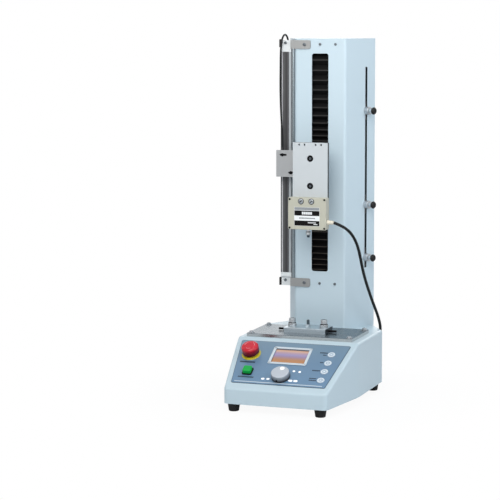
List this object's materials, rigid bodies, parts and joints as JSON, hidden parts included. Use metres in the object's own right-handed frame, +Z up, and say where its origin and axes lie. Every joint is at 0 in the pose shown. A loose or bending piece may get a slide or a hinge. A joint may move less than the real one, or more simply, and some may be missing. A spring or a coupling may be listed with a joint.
{
  "type": "motorised force test stand",
  "caption": "Bench stand that drives a force gauge up and down a covered column by a screw, over a base with a sloped control panel and a fixture table.",
  "frame": {"origin": "middle of the base's outline at the underside of the feet", "axes": "+X to the right, +Y from the control panel to the rear, +Z up the column"},
  "size_m": [0.263, 0.4015, 0.7569],
  "materials": {
    "body_paint": "pale blue-grey powder coat, semi-gloss",
    "panel_film": "blue printed film, satin",
    "black_rubber": "moulded black rubber",
    "zinc_steel": "zinc plated sheet",
    "black_plastic": "black moulded plastic",
    "nickel": "nickel plated",
    "display": "orange lit display behind clear cover",
    "circuit_board": "green circuit board",
    "satin_aluminium": "satin anodised",
    "yellow_plastic": "yellow moulded plastic",
    "red_plastic": "red moulded plastic",
    "green_plastic": "green moulded plastic",
    "key_plastic": "pale moulded plastic with a blue-grey inlay",
    "polished_steel": "polished ground plate",
    "satin_steel": "ground or brushed steel",
    "black_oxide": "black oxide screws",
    "cast_metal": "machined casting, grey paint",
    "bellows_fabric": "coated pleated fabric",
    "beige_plastic": "beige moulded plastic",
    "cable_rubber": "black cable jacket"
  },
  "bodies": {
    "stand": {"base_housing": "body_paint", "base_plate": "zinc_steel", "rubber_feet": "black_rubber", "rear_panel": "body_paint", "power_inlet": "black_plastic", "sensor_socket": "nickel", "control_panel": "panel_film", "display_module": "display", "control_board": "circuit_board", "power_supply": "zinc_steel", "estop_collar": "yellow_plastic", "start_switch": "black_plastic", "table_plate": "polished_steel", "table_screws": "nickel", "fixture_block": "satin_steel", "fixture_clamps": "nickel", "fixture_pins": "black_oxide", "drive_motor": "black_plastic", "timing_belt": "black_rubber", "bearing_blocks": "satin_aluminium", "column_spine": "cast_metal", "guide_rails": "satin_steel", "column_cover": "body_paint", "rear_cover": "body_paint", "bellows_upper": "bellows_fabric", "bellows_lower": "bellows_fabric", "scale_body": "satin_aluminium", "scale_brackets": "satin_steel", "scale_rod": "satin_steel", "sensor_plug": "nickel", "sensor_cable": "cable_rubber", "reader_cable": "cable_rubber"},
    "screw": {"ball_screw": "satin_steel", "screw_pulley": "satin_aluminium"},
    "rotor": {"motor_rotor": "satin_steel"},
    "carriage": {"slide_blocks": "satin_steel", "ball_nut": "satin_steel", "carriage_arm": "cast_metal", "carriage_plate": "satin_aluminium", "plate_screws": "black_oxide", "gauge_box": "beige_plastic", "gauge_shaft": "nickel", "gauge_gland": "beige_plastic", "reader_head": "black_plastic", "reader_plate": "satin_steel"},
    "speed_dial": {"speed_knob": "satin_aluminium"},
    "stop_plunger": {"estop_plunger": "black_plastic"},
    "stop_head": {"estop_head": "red_plastic"},
    "start_cap": {"start_button": "green_plastic"},
    "rocker": {"power_rocker": "black_plastic"},
    "key_1_cap": {"key_1": "key_plastic"},
    "key_2_cap": {"key_2": "key_plastic"},
    "key_3_cap": {"key_3": "key_plastic"},
    "key_4_cap": {"key_4": "key_plastic"},
    "stop_upper": {"stop_block_upper": "satin_aluminium"},
    "thumbscrew_upper": {"stop_knob_upper": "black_plastic"},
    "stop_middle": {"stop_block_middle": "satin_aluminium"},
    "thumbscrew_middle": {"stop_knob_middle": "black_plastic"},
    "stop_lower": {"stop_block_lower": "satin_aluminium"},
    "thumbscrew_lower": {"stop_knob_lower": "black_plastic"}
  },
  "joints": [
    {"name": "screw_turn", "type": "hinge", "parent": "stand", "child": "screw", "pos_m": [0, 0.152, 0.4], "axis": [0, 0, 1], "range_deg": [-10441, 11161]},
    {"name": "motor_turn", "type": "hinge", "parent": "stand", "child": "rotor", "pos_m": [0, 0.075, 0.1], "axis": [0, 0, 1], "continuous": true},
    {"name": "lift", "type": "slide", "parent": "stand", "child": "carriage", "axis": [0, 0, 1], "range_m": [-0.145, 0.155], "deforming": ["bellows_upper", "bellows_lower", "sensor_cable", "reader_cable"]},
    {"name": "speed_dial_turn", "type": "hinge", "parent": "stand", "child": "speed_dial", "pos_m": [0, -0.15404, 0.07601], "axis": [0, -0.4836, 0.8753], "continuous": true},
    {"name": "emergency_push", "type": "slide", "parent": "stand", "child": "stop_plunger", "axis": [0, -0.4836, 0.8753], "range_m": [-0.0025, 0], "stiffness_N_per_m": 1400},
    {"name": "emergency_twist", "type": "hinge", "parent": "stop_plunger", "child": "stop_head", "pos_m": [-0.0845, -0.10164, 0.11867], "axis": [0, -0.4836, 0.8753], "range_deg": [0, 45]},
    {"name": "start_push", "type": "slide", "parent": "stand", "child": "start_cap", "axis": [0, -0.4836, 0.8753], "range_m": [-0.0015, 0], "stiffness_N_per_m": 600},
    {"name": "power_rock", "type": "hinge", "parent": "stand", "child": "rocker", "pos_m": [-0.052, 0.1822, 0.086], "axis": [1, 0, 0], "range_deg": [-16, 0]},
    {"name": "key_1_push", "type": "slide", "parent": "stand", "child": "key_1_cap", "axis": [0, -0.4836, 0.8753], "range_m": [-0.0006, 0], "stiffness_N_per_m": 500},
    {"name": "key_2_push", "type": "slide", "parent": "stand", "child": "key_2_cap", "axis": [0, -0.4836, 0.8753], "range_m": [-0.0006, 0], "stiffness_N_per_m": 500},
    {"name": "key_3_push", "type": "slide", "parent": "stand", "child": "key_3_cap", "axis": [0, -0.4836, 0.8753], "range_m": [-0.0006, 0], "stiffness_N_per_m": 500},
    {"name": "key_4_push", "type": "slide", "parent": "stand", "child": "key_4_cap", "axis": [0, -0.4836, 0.8753], "range_m": [-0.0006, 0], "stiffness_N_per_m": 500},
    {"name": "stop_upper_slide", "type": "slide", "parent": "stand", "child": "stop_upper", "axis": [0, 0, 1], "range_m": [-0.09, 0.07]},
    {"name": "stop_upper_screw", "type": "hinge", "parent": "stop_upper", "child": "thumbscrew_upper", "pos_m": [0.08362, 0.16431, 0.594], "axis": [0.9077, -0.4197, 0], "range_deg": [0, 270]},
    {"name": "stop_middle_slide", "type": "slide", "parent": "stand", "child": "stop_middle", "axis": [0, 0, 1], "range_m": [-0.045, 0.06]},
    {"name": "stop_middle_screw", "type": "hinge", "parent": "stop_middle", "child": "thumbscrew_middle", "pos_m": [0.08362, 0.16431, 0.3935], "axis": [0.9077, -0.4197, 0], "range_deg": [0, 270]},
    {"name": "stop_lower_slide", "type": "slide", "parent": "stand", "child": "stop_lower", "axis": [0, 0, 1], "range_m": [-0.008, 0.024]},
    {"name": "stop_lower_screw", "type": "hinge", "parent": "stop_lower", "child": "thumbscrew_lower", "pos_m": [0.08362, 0.16431, 0.2795], "axis": [0.9077, -0.4197, 0], "range_deg": [0, 270]}
  ],
  "couplings": [
    {"joint": "screw_turn", "follows": "lift", "rad_per_m": 1256.6},
    {"joint": "motor_turn", "follows": "lift", "rad_per_m": 2513.3}
  ]
}
